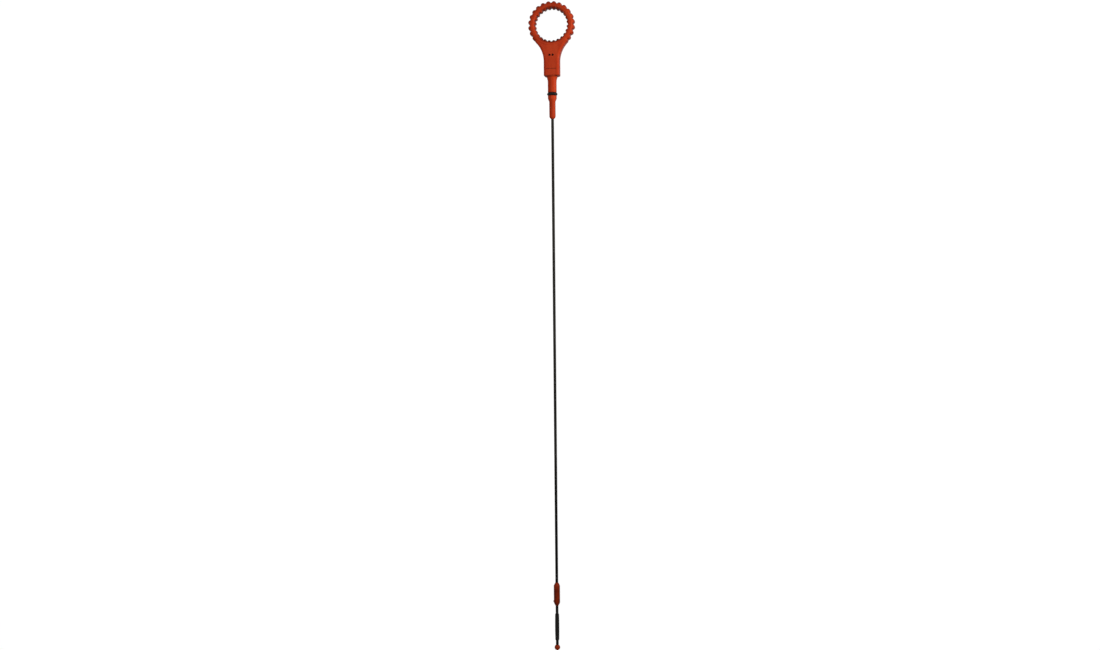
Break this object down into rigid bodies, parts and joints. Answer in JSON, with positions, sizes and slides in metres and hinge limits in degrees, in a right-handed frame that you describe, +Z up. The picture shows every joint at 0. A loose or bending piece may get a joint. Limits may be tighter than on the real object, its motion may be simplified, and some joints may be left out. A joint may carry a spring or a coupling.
{
  "type": "engine oil dipstick",
  "caption": "Engine oil dipstick: a beaded plastic finger ring and sealing plug on a long steel wire, with a guide sleeve, a pressed level blade and a ball tip.",
  "frame": {"origin": "on the wire's axis, in the plane of the stop shoulder under the handle's block", "axes": "+Y along the wire, from the tip ball to the finger ring; +X across the flat ring; +Z up, out of the face with the pin holes, as the dipstick lies on a table"},
  "size_m": [0.0466, 0.6483, 0.012],
  "materials": {
    "handle_plastic": "satin orange-red moulding",
    "guide_plastic": "satin red-brown moulding, darkened by oil",
    "seal_rubber": "black, oily",
    "wire_steel": "drawn wire with a dark oxide"
  },
  "bodies": {
    "root": {"handle": "handle_plastic", "o_ring": "seal_rubber", "rod": "wire_steel", "guide_sleeve": "guide_plastic", "tip_ball": "guide_plastic"}
  },
  "joints": []
}
